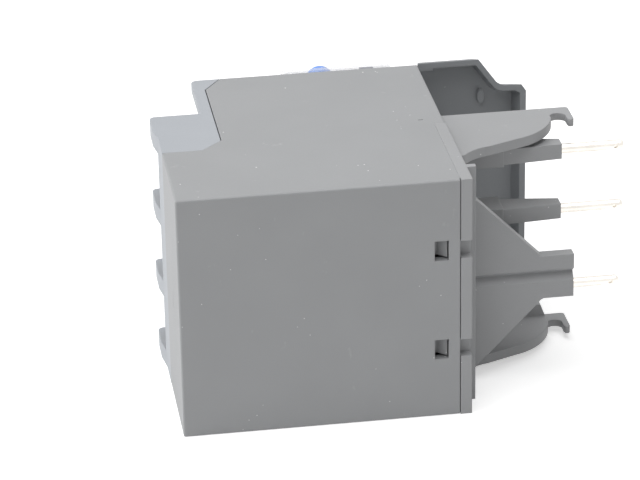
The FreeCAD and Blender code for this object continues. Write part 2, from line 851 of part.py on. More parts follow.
def control_panel():
    """Raised hollow panel that carries the dial, the buttons and the lugs of the cover."""
    body = new_body("control_panel")
    base = D.body_depth
    outer = oblong(D.panel_start, D.panel_end, D.panel_low, D.panel_high)
    pad(body, "deep", base, D.panel_face, outer)
    round_edges(body, D.panel_round, on_panel_face)
    hollow = oblong(
        D.panel_start + D.panel_side,
        D.panel_end - D.panel_side,
        D.panel_low + D.panel_side,
        D.panel_high - D.panel_side,
    )
    pocket(body, "deep", base, D.panel_face - D.panel_wall, hollow)
    low = D.panel_face - D.panel_wall - OVERCUT
    high = D.panel_face + OVERCUT
    fit = D.running_fit
    pocket(body, "deep", low, high, disc(D.dial_along, D.dial_up, D.dial_radius + fit * 2))
    pocket(body, "deep", low, high, disc(D.reset_along, D.reset_up, D.reset_radius + fit))
    pocket(body, "deep", low, high, disc(D.stop_along, D.stop_up, D.stop_radius + fit))
    half_length = D.test_length / 2 + fit
    half_height = D.test_height / 2 + fit
    test = around(D.test_along, half_length, D.test_up, half_height)
    pocket(body, "deep", low, high, test)
    pocket(body, "deep", low, high, around(D.flag_along, 0.9, D.flag_up, 1.6))
    for start in LUG_STARTS:
        foot = oblong(
            D.hinge_along - D.hinge_radius,
            D.hinge_along + D.hinge_radius,
            D.panel_face - 0.3,
            D.hinge_deep,
        )
        pad(body, "up", start, start + D.lug_width, foot)
        pad(body, "up", start, start + D.lug_width, disc(D.hinge_along, D.hinge_deep, D.hinge_radius))
    bore = disc(D.hinge_along, D.hinge_deep, D.hinge_pin_radius)
    pocket(body, "up", D.lug_low - OVERCUT, D.lug_high + D.lug_width + OVERCUT, bore)
    return body


def on_panel_face(middle, direction):
    return is_deep(middle, D.panel_face)


def clear_cover():
    """Clear flap over the panel, with a window for the buttons and a barrel on its hinge pin."""
    body = new_body("clear_cover")
    inner = D.cover_face - D.cover_thick
    sheet = oblong(D.cover_start, D.cover_end, D.cover_low, D.cover_high)
    pad(body, "deep", inner, D.cover_face, sheet)
    window = oblong(D.reset_along - 3.5, D.cover_end - 1.2, D.reset_up - 3.0, D.reset_up + 3.3)
    pocket(body, "deep", inner - OVERCUT, D.cover_face + OVERCUT, window)
    lug_gap = 0.3
    corner_low = D.lug_high + D.lug_width + lug_gap
    corner = oblong(D.cover_end - 0.1, D.hinge_along - lug_gap, corner_low, D.cover_high)
    pad(body, "deep", inner, D.cover_face, corner)
    lip = oblong(D.cover_start, D.cover_start + 1, D.cover_low, D.cover_high)
    pad(body, "deep", inner - 0.5, inner + 0.1, lip)
    low = D.lug_low + D.lug_width + lug_gap
    high = D.lug_high - lug_gap
    pad(body, "up", low, high, oblong(D.cover_end - 0.2, D.hinge_along, inner, D.cover_face))
    pad(body, "up", low, high, disc(D.hinge_along, D.hinge_deep, D.hinge_radius))
    bore = disc(D.hinge_along, D.hinge_deep, D.hinge_pin_radius + D.running_fit)
    pocket(body, "up", low - OVERCUT, high + OVERCUT, bore)
    return body


def cover_hinge_pin():
    """Pin held by both lugs, on which the cover's barrel turns."""
    centre = (D.hinge_along, D.hinge_deep)
    high = D.lug_high + D.lug_width
    return keep(rod("HingePin", "up", D.lug_low, high, centre, D.hinge_pin_radius), "cover_hinge_pin")


def setting_dial():
    """Current dial: slotted disc, collar and shaft through the front plate, eccentric cam."""
    body = new_body("setting_dial")
    centre = (D.dial_along, D.dial_up)
    top = D.panel_face + 0.4
    disc_low = D.panel_face - 2.2
    pad(body, "deep", disc_low, top, disc(*centre, D.dial_radius))
    pad(body, "deep", D.body_depth + 0.06, disc_low + 0.1, disc(*centre, 3))
    pad(body, "deep", D.body_depth - 4, D.body_depth + 0.2, disc(*centre, D.dial_shaft))
    cam = disc(D.dial_along + 0.9, D.dial_up, 2.6)
    pad(body, "deep", D.body_depth - 5.2, D.body_depth - 3.9, cam)
    pocket(body, "deep", top - 1.1, top + 0.5, around(D.dial_along, 4.4, D.dial_up, 0.55))
    arrow = [
        (D.dial_along + 4.0, D.dial_up - 1.5),
        (D.dial_along + 5.5, D.dial_up),
        (D.dial_along + 4.0, D.dial_up + 1.5),
    ]
    pocket(body, "deep", top - 0.5, top + 0.5, arrow)
    return body


def round_button(label, along, up, radius, face, edge):
    """Round push button: hollow cap with a rounded rim and an ear that holds it in the panel."""
    body = new_body(label)
    foot = D.body_depth + D.button_travel + 0.1
    pad(body, "deep", foot, face, disc(along, up, radius))
    round_edges(body, edge, lambda middle, direction: is_deep(middle, face))
    ear = around(along, radius * 0.5, up - 0.6, radius)
    pad(body, "deep", foot, foot + 0.8, ear)
    pocket(body, "deep", foot - 0.5, D.panel_face + 0.8, disc(along, up, radius - 0.7))
    return body


def reset_button():
    return round_button("reset_button", D.reset_along, D.reset_up, D.reset_radius, D.reset_face, 0.4)


def stop_button():
    return round_button("stop_button", D.stop_along, D.stop_up, D.stop_radius, D.stop_face, 0.5)


def test_button():
    """Narrow push button beside the other two."""
    body = new_body("test_button")
    foot = D.body_depth + D.button_travel + 0.1
    outline = around(D.test_along, D.test_length / 2, D.test_up, D.test_height / 2)
    pad(body, "deep", foot, D.test_face, outline)
    round_edges(body, 0.4, lambda middle, direction: is_deep(middle, D.test_face))
    ear = around(D.test_along, D.test_length / 4, D.test_up - 0.6, D.test_height / 2)
    pad(body, "deep", foot, foot + 0.8, ear)
    hole = disc(D.test_along, D.test_up, 0.85)
    pocket(body, "deep", foot - 0.5, D.panel_face + 0.8, hole)
    return body


def coil_spring(label, along, up, radius, wire):
    """Compression spring of hexagonal wire that stands on the front plate inside its button."""
    pitch = D.spring_height / SPRING_TURNS
    helix = DOC.addObject("Part::Helix", label + "_helix")
    for name, size in (("Radius", radius), ("Height", D.spring_height), ("Pitch", pitch)):
        setattr(helix, name, number(size))
        bind(helix, name, size)
    profile = DOC.addObject("Part::RegularPolygon", label + "_wire")
    profile.Polygon = WIRE_SIDES
    profile.Circumradius = wire
    turn = FreeCAD.Rotation(FreeCAD.Vector(1, 0, 0), 90)
    profile.Placement = FreeCAD.Placement(FreeCAD.Vector(number(radius), 0, 0), turn)
    bind(profile, "Placement.Base.x", radius)
    sweep = DOC.addObject("Part::Sweep", label)
    sweep.Sections = [profile]
    sweep.Spine = (helix, ["Edge1"])
    sweep.Solid = True
    sweep.Frenet = True
    placed(sweep, along, D.body_depth + wire, up, FreeCAD.Rotation(FreeCAD.Vector(1, 0, 0), 90))
    return keep(sweep, label)


def button_springs():
    coil_spring("reset_spring", D.reset_along, D.reset_up, D.reset_radius - 1.2, 0.2)
    coil_spring("stop_spring", D.stop_along, D.stop_up, D.stop_radius - 1.05, 0.14)
    coil_spring("test_spring", D.test_along, D.test_up, D.stop_radius - 1.3, 0.12)


def trip_indicator():
    """Flag that slides behind its window in the panel when the relay trips."""
    along = (D.flag_along - 1.1, D.flag_along + 1.1)
    deep = (D.body_depth + 0.15, D.panel_face - D.panel_wall - 0.3)
    return keep(block("Flag", along, deep, (D.flag_up - 3, D.flag_up + 3)), "trip_indicator")


# ---- poles and terminals ---------------------------------------------------------------------


def contact_pins():
    """Copper pins, square where a sleeve holds them, with a flat and a dimple at the tapered tip."""
    for place, (up, deep, tip) in enumerate(zip(PIN_UPS, PIN_DEEPS, PIN_TIPS), start=1):
        name = f"Pin{place}"
        sleeve_end = D.web_end if place == 1 else D.sleeve_end
        half = D.pin_radius
        held = block(name + "_held", (D.pin_root, sleeve_end), spread(deep, half), spread(up, half))
        shoulder = tip - D.pin_taper
        shank = rod(name + "_shank", "along", sleeve_end, shoulder, (deep, up), D.pin_radius)
        taper = DOC.addObject("Part::Cone", name + "_taper")
        sizes = {"Radius1": D.pin_tip_radius, "Radius2": D.pin_radius, "Height": D.pin_taper}
        for size_name, size in sizes.items():
            setattr(taper, size_name, number(size))
            bind(taper, size_name, size)
        placed(taper, tip, deep, up, TURNS["along"])
        whole = fuse(name + "_whole", held, shank, taper)
        flat_up = up - D.pin_radius + D.pin_flat_depth
        flat = block(
            name + "_flat",
            (tip - D.pin_flat_length, tip + OVERCUT),
            spread(deep, D.pin_radius + OVERCUT),
            (up - D.pin_radius - OVERCUT, flat_up),
        )
        back = deep - D.pin_radius
        dimple_low, dimple_high = back - OVERCUT, back + D.dimple_depth
        centre = (tip - D.dimple_inset, up)
        dimple = rod(name + "_dimple", "deep", dimple_low, dimple_high, centre, D.dimple_radius)
        keep(cut(name, whole, flat, dimple), f"contact_pin_{place}")


def poles():
    """For each pole: bimetal strip, heater winding, link to its pin and strap to its terminal."""
    for place, middle in enumerate(POLES):
        tag = str(place + 1)
        half = D.strip_thick / 2
        strip_deep = (D.strip_low, D.strip_high)
        strip = (D.strip_free_end, D.strip_root)
        bimetal = block("Strip" + tag, strip, strip_deep, (middle - half, middle + half))
        keep(bimetal, "bimetal_" + tag)
        heater_winding(tag, middle)
        input_link(tag, middle, PIN_UPS[place], PIN_DEEPS[place])
        output_strap(tag, middle)


def heater_winding(tag, middle):
    """Flat insulated coil round the strip: a thin sleeve with a row of raised turns."""
    name = "Winding" + tag
    turns = []
    for turn in range(WINDING_TURNS):
        start = D.winding_start + D.winding_pitch * turn
        deep = (D.strip_low - 1.1, D.strip_high + 1.1)
        turns.append(block(f"{name}_turn{turn}", (start, start + 1.6), deep, spread(middle, 1.6)))
    sleeve_deep = (D.strip_low - 0.7, D.strip_high + 0.7)
    span = (D.winding_start, D.strip_root)
    sleeve = block(name + "_sleeve", span, sleeve_deep, spread(middle, 1.2))
    hollow_deep = (D.strip_low - 0.2, D.strip_high + 0.2)
    hollow_span = (D.winding_start - 1, D.strip_root + 1)
    hollow = block(name + "_hollow", hollow_span, hollow_deep, spread(middle, 0.9))
    keep(cut(name, fuse(name + "_whole", sleeve, *turns), hollow), "heater_winding_" + tag)


def input_link(tag, middle, pin_up, pin_deep):
    """Copper plate from the strip's fixed end across to the pin, both butted against it."""
    along = (D.strip_root, D.strip_root + D.link_thick)
    far_deep = D.strip_high if pin_deep is D.low_pin_deep else pin_deep + D.link_margin
    deep = (D.strip_low - 0.8, far_deep)
    up = (middle - D.link_margin, pin_up + D.link_margin)
    keep(block("Link" + tag, along, deep, up), "input_link_" + tag)


def output_strap(tag, middle):
    """Copper strap from the heater winding to the load terminal."""
    name = "Strap" + tag
    deep = (D.strap_deep, D.strap_deep + D.strap_thick)
    leg_near = D.winding_start + D.winding_pitch
    leg_along = (leg_near, leg_near + D.strap_thick)
    run = block(name + "_run", (D.strap_near, leg_along[1]), deep, spread(middle, D.strap_width / 2))
    leg = block(name + "_leg", leg_along, (D.strip_high + 1.1, deep[1]), spread(middle, 1.6))
    keep(fuse(name, run, leg), "output_strap_" + tag)


def clamp_cage(name, along, deep, middle, half, frame):
    """Outer block of a square cage and the opening for the wire, which is cut from it."""
    outer = block(name + "_outer", along, deep, spread(middle, half))
    opening_along = (along[0] - 1, along[1] + 1)
    opening_deep = (deep[0] + frame, deep[1] - frame)
    opening = block(name + "_opening", opening_along, opening_deep, spread(middle, half - frame * 0.8))
    return outer, opening


def screw(name, along, middle, seat, head_radius, head_height, shank_radius, reach):
    """Slotted cheese-head screw that runs deep, its head resting on the seat."""
    centre = (along, middle)
    head = rod(name + "_head", "deep", seat, seat + head_height, centre, head_radius)
    shank = rod(name + "_shank", "deep", seat - reach, seat + 0.1, centre, shank_radius)
    slot_deep = (seat + head_height - 0.9, seat + head_height + 1)
    slot_along = (along - head_radius - 1, along + head_radius + 1)
    slot = block(name + "_slot", slot_along, slot_deep, spread(middle, 0.4))
    return cut(name, fuse(name + "_whole", head, shank), slot)


def load_terminals():
    """Cage clamps in the three bays, and their screws behind the holes of the ledge."""
    screws = []
    for place, middle in enumerate(POLES, start=1):
        name = f"LoadClamp{place}"
        along = (D.load_screw_along - 3.1, D.load_screw_along + 3.1)
        deep = (D.bay_deep, D.bay_deep + 7.7)
        outer, opening = clamp_cage(name, along, deep, middle, 4.4, 1.0)
        centre = (D.load_screw_along, middle)
        thread = rod(name + "_thread", "deep", deep[1] - 2, deep[1] + 1, centre, 1.7)
        keep(cut(name, outer, opening, thread), f"load_clamp_{place}")
        label = f"LoadScrew{place}"
        screws.append(screw(label, D.load_screw_along, middle, deep[1], 2.8, 1.7, 1.7, 1.0))
    keep(group("LoadScrews", *screws), "load_screws")


def aux_terminals():
    """Four small cage clamps with screws and the bars that lead to the contacts."""
    clamps = []
    screws = []
    bars = []
    for place, middle in enumerate(AUX_UPS, start=1):
        name = f"AuxClamp{place}"
        along = (D.aux_screw_along - 2.4, D.aux_screw_along + 2.4)
        deep = (D.aux_bar_deep - 0.8, D.aux_bar_deep + 3.8)
        outer, opening = clamp_cage(name, along, deep, middle, 2.6, 0.8)
        centre = (D.aux_screw_along, middle)
        thread = rod(name + "_thread", "deep", deep[1] - 1, deep[1] + 1, centre, 1.2)
        clamps.append(cut(name, outer, opening, thread))
        label = f"AuxScrew{place}"
        screws.append(screw(label, D.aux_screw_along, middle, deep[1], 2.2, 2.0, 1.2, 2.4))
        bar_along = (D.aux_screw_along - 2, D.aux_block_end + 1.5)
        bar_deep = (D.aux_bar_deep, D.aux_bar_deep + D.aux_bar_thick)
        bar_up = spread(middle, D.aux_bar_half)
        bars.append(block(f"AuxBar{place}", bar_along, bar_deep, bar_up))
    keep(group("AuxClamps", *clamps), "aux_clamps")
    keep(group("AuxScrews", *screws), "aux_screws")
    keep(group("AuxBars", *bars), "aux_bars")


# ---- trip mechanism --------------------------------------------------------------------------


def trip_slide():
    """Comb across the three strips, with a driving lug for the compensation lever."""
    bar_deep = (D.slide_deep, D.slide_deep + D.slide_thick)
    bar_up = (D.slide_low, D.body_width - D.slide_high_gap)
    bar = block("SlideBar", (D.slide_near, D.slide_far), bar_deep, bar_up)
    fingers = []
    for place, middle in enumerate(POLES):
        along = (D.slide_near, D.slide_near + 1.6)
        deep = (D.strip_low + 0.5, D.slide_deep + 0.1)
        fingers.append(block(f"SlideFinger{place}", along, deep, (middle + 0.7, middle + 1.9)))
    lug_deep = (bar_deep[1] - 0.1, D.lever_deep + 2)
    lug_up = (D.lever_up - 3.2, D.lever_up - 1.8)
    lug = block("SlideLug", (D.slide_far - 1.8, D.slide_far - 0.2), lug_deep, lug_up)
    return keep(fuse("Slide", bar, lug, *fingers), "trip_slide")


def compensation_lever():
    """Two-armed lever: a thin strip to the slide's lug and a short arm to the trip lever."""
    centre = (D.lever_along, D.lever_up)
    deep = (D.lever_deep, D.plate_deep - 0.3)
    hub = rod("LeverHub", "deep", deep[0], deep[1], centre, 1.6)
    arm_deep = (D.lever_deep + 0.5, D.lever_deep + 1.7)
    strip_along = (D.slide_far - 1.4, D.lever_along)
    strip = block("LeverStrip", strip_along, arm_deep, (D.lever_up - 1.5, D.lever_up - 0.7))
    arm_along = (D.lever_along, D.lever_along + 8.4)
    arm = block("LeverArm", arm_along, arm_deep, (D.lever_up - 0.4, D.lever_up + 0.8))
    bore = rod("LeverBore", "deep", deep[0] - 1, deep[1] + 1, centre, D.pivot_radius + D.running_fit)
    return keep(cut("Lever", fuse("LeverWhole", hub, strip, arm), bore), "compensation_lever")


def trip_lever():
    """Cranked lever that the compensation lever turns and that works the contact blades."""
    centre = (D.trip_along, D.trip_up)
    deep = (D.lever_deep, D.plate_deep - 0.3)
    hub = rod("TripHub", "deep", deep[0], deep[1], centre, 1.8)
    arm_deep = (D.lever_deep + 0.5, D.lever_deep + 1.9)
    arm = block("TripArm", (D.trip_along - 6, D.trip_along), arm_deep, spread(D.trip_up, 0.7))
    post_along = (D.trip_along - 6, D.trip_along - 4.8)
    post = block("TripPost", post_along, arm_deep, (D.trip_up, D.lever_up - 0.8))
    tail_up = (D.trip_up - 9, D.trip_up)
    tail = block("TripTail", spread(D.trip_along, 0.6), (arm_deep[0], D.plate_deep - 0.6), tail_up)
    bore = rod("TripBore", "deep", deep[0] - 1, deep[1] + 1, centre, D.pivot_radius + D.running_fit)
    return keep(cut("Trip", fuse("TripWhole", hub, arm, post, tail), bore), "trip_lever")


def mechanism_plate():
    """Insulating plate under the front that carries both pivots."""
    along = (D.aux_block_end - 2, D.plate_near)
    deep = (D.plate_deep, D.plate_deep + D.plate_thick)
    plate = block("Plate", along, deep, (D.wall, D.body_width - D.wall))
    bores = []
    for name, centre in PIVOTS.items():
        bores.append(rod(name + "_bore", "deep", deep[0] - 1, deep[1] + 1, centre, D.pivot_radius))
    keep(cut("MechanismPlate", plate, *bores), "mechanism_plate")
    for name, centre in PIVOTS.items():
        keep(rod(name + "_pin", "deep", D.lever_deep - 0.5, deep[1], centre, D.pivot_radius), name)


def contact_blades():
    """Two leaf springs on feet under the plate, and the fixed contacts beside their tips."""
    leaf_deep = (D.lever_deep + 0.5, D.plate_deep - 1)
    foot_deep = (D.plate_deep - 2, D.plate_deep)
    post_deep = (D.lever_deep + 1, D.plate_deep)
    level = D.trip_up - 2.6
    leaf = block("nc_leaf", (D.trip_along - 16, D.trip_along - 3.5), leaf_deep, (level, level + 0.4))
    foot = block("nc_foot", (D.trip_along - 16, D.trip_along - 14), foot_deep, spread(level, 1.8))
    keep(fuse("NcBlade", leaf, foot), "nc_blade")
    along = D.trip_along + 2.6
    leaf = block("no_leaf", (along, along + 0.4), leaf_deep, (D.trip_up - 20, D.trip_up - 7.5))
    foot = block("no_foot", (along - 1.8, along + 0.5), foot_deep, (D.trip_up - 20, D.trip_up - 18))
    keep(fuse("NoBlade", leaf, foot), "no_blade")
    below = block("nc_post", (D.trip_along - 5, D.trip_along - 3.5), post_deep, (level - 2, level))
    beside = block("no_post", (along + 0.7, along + 1.2), post_deep, (D.trip_up - 9.5, D.trip_up - 7.5))
    keep(group("FixedContacts", below, beside), "fixed_contacts")


RELAY = [
    rear_housing,
    front_housing,
    docking_frame,
    terminal_shroud,
    control_panel,
    clear_cover,
    cover_hinge_pin,
    setting_dial,
    reset_button,
    stop_button,
    test_button,
    button_springs,
    trip_indicator,
    contact_pins,
    poles,
    load_terminals,
    aux_terminals,
    trip_slide,
    compensation_lever,
    trip_lever,
    mechanism_plate,
    contact_blades,
]


def check_and_write():
    """Refuse a failed object or an empty shape, then write every piece."""
    DOC.recompute()
    for thing in DOC.Objects:
        if "Invalid" in thing.State or "Error" in thing.State:
            raise ValueError(f"{thing.Label}: {thing.State}")
    os.makedirs("parts", exist_ok=True)
    for piece in PIECES:
        shape = piece.Shape
        if shape.isNull() or not shape.isValid() or not shape.Solids:
            raise ValueError(f"{piece.Label}: no valid solid")
        shape.exportStep(f"parts/{piece.Label}.step")
        print(piece.Label, len(shape.Solids), round(shape.Volume, 1))


for make in RELAY:
    make()
check_and_write()
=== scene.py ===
"""Looks of the thermal overload relay: moulded grey plastic, tinned pins, controls and light."""

import json
import math

import bmesh
import bpy
from mathutils import Matrix, Vector


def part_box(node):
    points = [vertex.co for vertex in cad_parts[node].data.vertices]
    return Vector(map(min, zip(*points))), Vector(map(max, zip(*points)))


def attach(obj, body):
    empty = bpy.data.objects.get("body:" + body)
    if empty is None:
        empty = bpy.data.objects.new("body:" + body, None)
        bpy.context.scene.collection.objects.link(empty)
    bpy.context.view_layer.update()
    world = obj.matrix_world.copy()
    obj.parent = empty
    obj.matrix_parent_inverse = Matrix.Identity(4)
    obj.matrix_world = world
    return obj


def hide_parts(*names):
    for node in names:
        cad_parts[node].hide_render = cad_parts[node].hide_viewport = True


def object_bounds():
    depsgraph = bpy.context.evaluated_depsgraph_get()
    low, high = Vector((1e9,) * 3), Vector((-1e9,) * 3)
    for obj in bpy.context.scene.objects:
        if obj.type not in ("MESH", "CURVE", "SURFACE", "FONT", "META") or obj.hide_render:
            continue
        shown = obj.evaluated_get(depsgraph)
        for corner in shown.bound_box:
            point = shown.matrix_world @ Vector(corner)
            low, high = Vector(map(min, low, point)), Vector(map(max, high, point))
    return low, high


MM = 0.001

# camera, in the frame of the CAD, looking down at the back of the relay from the load end:
# lens and sensor in millimetres, and the nearest distance that it sees in metres
CAMERA_PLACE = Vector((70.05, 516.68, 264.37)) * MM
CAMERA_LOOK = Vector((-0.12676, -0.89893, -0.41935))
CAMERA_UP = Vector((-0.07689, -0.41258, 0.90767))
CAMERA_LENS = 180
CAMERA_SENSOR = 36
CAMERA_NEAR = 0.01

# the sky's strength for everything but the background, where 1 is white
SKY_LEVEL = 0.32

# softboxes: place, point that they face and side, in metres, and power in watts
SOFTBOXES = {
    "overhead": {"place": (0.10, 0.05, 0.60), "aim": (0, 0, 0.02), "side": 0.7, "power": 3.4},
    "load_end": {"place": (0.70, 0.10, 0.25), "aim": (0, 0, 0.03), "side": 0.4, "power": 1.9},
}

# floor: side in metres, its own white, and how much it is lifted towards white for the camera
FLOOR_SIDE = 6
FLOOR_WHITE = 0.86
FLOOR_LIFT = 0.48

# colours of the mouldings; the shroud's grey is a darker copy of the housing's plastic, painted shade
# for the pin guard
HOUSING_GREY = (0.344, 0.350, 0.358)
FRONT_GREY = (0.415, 0.436, 0.466)
FRAME_GREY = (0.362, 0.367, 0.375)
SHROUD_SHADED_GREY = (0.283, 0.295, 0.308)

# moulded plastic: sizes in millimetres, shades as shares of its colour, and roughness
CLOUD_SIZE = 14.0
CLOUD_SHADES = (0.975, 1.02)
GRAIN_SIZE = 0.16
GRAIN_DEPTH = 0.010
GRAIN_SHADE = 0.93
GRAIN_SHARE = 0.5
# edges: radius of their rounding, then a painted highlight along them as a lighter shade of the
# colour and its strength
EDGE_ROUND = 0.28
EDGE_HIGHLIGHT_SHADE = 1.5
EDGE_HIGHLIGHT_SHARE = 0.35
MOULDED_ROUGH = (0.47, 0.58)
MOULDED_SPECULAR = 0.4
BEVEL_SAMPLES = 6

# dust: cells in a millimetre, radius of a speck in cells, size in millimetres of the patches that
# it gathers in, and how many of the cells hold a speck outside and inside a patch
DUST_WHITE = (0.86, 0.86, 0.85)
DUST_CELLS = 0.8
DUST_SPECK = (0.05, 0.13)
DUST_PATCH = 11.0
DUST_CHANCE = (0.015, 0.42)
DUST_SHARE = 0.75

# scuffs: size in millimetres, how they are drawn out along each axis, and strength
SCUFF_SIZE = 3.2
SCUFF_STRETCH = (1.0, 1.0, 0.45)
SCUFF_SHARE = 0.16

# glossy plastic
POLISHED_WAVE = 1.4
POLISHED_SHADE = 0.85
POLISHED_ROUGH = 0.16
POLISHED_COAT = 0.4

# clear plastic: how much of the light it stops, and its refraction
CLEAR_COVER_SHARE = 0.32
CLEAR_COVER_IOR = 1.58
HAZE_SIZE = 3.0
HAZE_SHADE = 0.96

# metal: width and depth of its fine lines in millimetres, their stretch, and tarnish
LINE_SIZE = 0.25
LINE_DEPTH = 0.004
LINE_STRETCH = 0.12
TARNISH_SIZE = 2.5
TARNISH_SHADE = 0.86

# woven sleeving: scale and waviness of its bands, and their depth in millimetres
WEAVE_SCALE = 1.6
WEAVE_WAVINESS = 1.5
WEAVE_DEPTH = 0.05
WEAVE_SHADE = 0.7
WEAVE_ROUGH = 0.85

# refined mouldings, in millimetres along, deep and up on the relay's drawing
WELD = 0.002
NEAR = 0.02
SHARP_ANGLE = math.radians(30)
RELAY_MIDDLE = 22.5

# pin guard: where its walls start and end, how far they lean, and the moulding gate's mark
GUARD_START = 50.9
GUARD_END_WALL = 68.0
GUARD_BACK = 54.0
GUARD_LEAN = 0.18
GATE_ALONG = 63.4
GATE_UP = 36.4
GATE_RADIUS = 1.6
GATE_DEEP = 55.0
GATE_SHARE_ALONG = 0.5
GATE_SHARE_UP = 1.1

# groove of the end frame's web: deep and up of its foot in the CAD, and where the foot goes
GROOVE_FOOT = (13.0, 19.4)
GROOVE_DEEP_FOOT = (13.35, 19.95)

# front corner of the step at the load end: along and deep of the sharp corner, the radius of its
# round in the CAD, and how many times wider the round gets
STEP_CORNER = (8.6, 53.4)
STEP_ROUND = 0.35
STEP_WIDENING = 3.7

# recesses at the auxiliary terminals: the boxes that are cut away, one for each terminal
RECESS_ALONG = (7.6, 10.4)
RECESS_DEEP = (39.2, 55.0)
RECESS_TALL = 9.6
RECESS_PITCH = 10.7
RECESS_COUNT = 4


# ---- shader helpers --------------------------------------------------------------------------


class Shader:
    """A material whose nodes are added one at a time and linked by name."""

    def __init__(self, name):
        self.material = bpy.data.materials.new(name)
        self.material.use_nodes = True
        self.tree = self.material.node_tree
        self.surface = self.tree.nodes["Principled BSDF"]

    def add(self, kind, **settings):
        """Add a shader node, with its settings."""
        node = self.tree.nodes.new("ShaderNode" + kind)
        for key, value in settings.items():
            setattr(node, key, value)
        return node

    def feed(self, source, target):
        """Link one socket to another, or set a plain value."""
        if isinstance(source, bpy.types.NodeSocket):
            self.tree.links.new(source, target)
        else:
            target.default_value = source

    def finish(self, colour, rough):
        """Give the surface its colour and its roughness."""
        self.feed(colour, self.surface.inputs["Base Color"])
        self.feed(rough, self.surface.inputs["Roughness"])

    def place(self):
        """Object coordinates in millimetres."""
        coordinates = self.add("TexCoord")
        scale = self.add("VectorMath", operation="SCALE")
        self.feed(coordinates.outputs["Object"], scale.inputs[0])
        self.feed(1 / MM, scale.inputs["Scale"])
        return scale.outputs["Vector"]

    def stretch(self, where, shares):
        """Coordinates scaled by a share on each axis, which draws a pattern out where it is small."""
        node = self.add("VectorMath", operation="MULTIPLY")
        self.feed(where, node.inputs[0])
        self.feed(shares, node.inputs[1])
        return node.outputs["Vector"]

    def noise(self, where, size, detail=2.0, rough=0.5):
        """Noise whose blobs are about size millimetres across."""
        node = self.add("TexNoise")
        self.feed(where, node.inputs["Vector"])
        self.feed(1 / size, node.inputs["Scale"])
        self.feed(detail, node.inputs["Detail"])
        self.feed(rough, node.inputs["Roughness"])
        return node.outputs["Fac"]

    def spread(self, value, low, high, to_low=0.0, to_high=1.0):
        """Map the range low..high of a value to another range, clamped."""
        node = self.add("MapRange")
        self.feed(value, node.inputs["Value"])
        self.feed(low, node.inputs["From Min"])
        self.feed(high, node.inputs["From Max"])
        self.feed(to_low, node.inputs["To Min"])
        self.feed(to_high, node.inputs["To Max"])
        return node.outputs["Result"]

    def maths(self, operation, first, second):
        """Result of a sum, product or comparison of two values."""
        node = self.add("Math", operation=operation)
        self.feed(first, node.inputs[0])
        self.feed(second, node.inputs[1])
        return node.outputs["Value"]

    def blend(self, share, first, second):
        """Mix two colours by a share."""
        node = self.add("Mix", data_type="RGBA")
        self.feed(share, node.inputs["Factor"])
        for value, name in ((first, "A"), (second, "B")):
            socket = [s for s in node.inputs if s.name == name and s.type == "RGBA"][0]
            self.feed(value if not isinstance(value, tuple) else (*value, 1), socket)
        return [s for s in node.outputs if s.type == "RGBA"][0]

    def bump(self, height, depth, strength=1.0, radius=0.0):
        """Bump of a depth in millimetres, over edges rounded by a radius in millimetres."""
        node = self.add("Bump")
        self.feed(height, node.inputs["Height"])
        self.feed(depth * MM, node.inputs["Distance"])
        self.feed(strength, node.inputs["Strength"])
        if radius:
            self.feed(self.rounded_normal(radius), node.inputs["Normal"])
        self.feed(node.outputs["Normal"], self.surface.inputs["Normal"])

    def rounded_normal(self, radius):
        """Normal of the surface with its edges rounded by a radius in millimetres."""
        bevel = self.add("Bevel", samples=BEVEL_SAMPLES)
        self.feed(radius * MM, bevel.inputs["Radius"])
        return bevel.outputs["Normal"]


def moulded_plastic(name, colour, dust=1.0):
    """Fine-grained moulding: spark-eroded texture, faint clouding, a painted highlight on sharp
    edges, scuffs and dust.
    """
    shader = Shader(name)
    where = shader.place()
    cloud = shader.spread(shader.noise(where, CLOUD_SIZE), 0.35, 0.65)
    base = shader.blend(cloud, shade(colour, CLOUD_SHADES[0]), shade(colour, CLOUD_SHADES[1]))
    grain = shader.noise(where, GRAIN_SIZE, detail=3.0, rough=0.6)
    pits = shader.spread(grain, 0.3, 0.7, 0.0, GRAIN_SHARE)
    base = shader.blend(pits, base, shade(colour, GRAIN_SHADE))
    # painted highlight: sharp outer edges made lighter than the faces
    edge_highlight = shader.maths("MULTIPLY", edge_highlight_mask(shader), EDGE_HIGHLIGHT_SHARE)
    base = shader.blend(edge_highlight, base, shade(colour, EDGE_HIGHLIGHT_SHADE))
    if dust:
        marks = shader.maths("ADD", dust_specks(shader, where), scuffs(shader, where))
        base = shader.blend(shader.maths("MULTIPLY", marks, dust), base, DUST_WHITE)
    shader.finish(base, shader.spread(grain, 0.3, 0.7, *MOULDED_ROUGH))
    shader.feed(MOULDED_SPECULAR, shader.surface.inputs["Specular IOR Level"])
    shader.bump(grain, GRAIN_DEPTH, strength=0.7, radius=EDGE_ROUND)
    return shader.material


def shade(colour, share):
    """A lighter or darker version of a colour."""
    return tuple(min(channel * share, 1.0) for channel in colour)


def edge_highlight_mask(shader):
    """Mask of the painted edge highlight: 1 on sharp outer edges and 0 on flat faces, from how far
    the rounded normal leans.
    """
    geometry = shader.add("NewGeometry")
    lean = shader.add("VectorMath", operation="DOT_PRODUCT")
    shader.feed(shader.rounded_normal(EDGE_ROUND), lean.inputs[0])
    shader.feed(geometry.outputs["Normal"], lean.inputs[1])
    return shader.spread(lean.outputs["Value"], 0.80, 0.98, 1.0, 0.0)


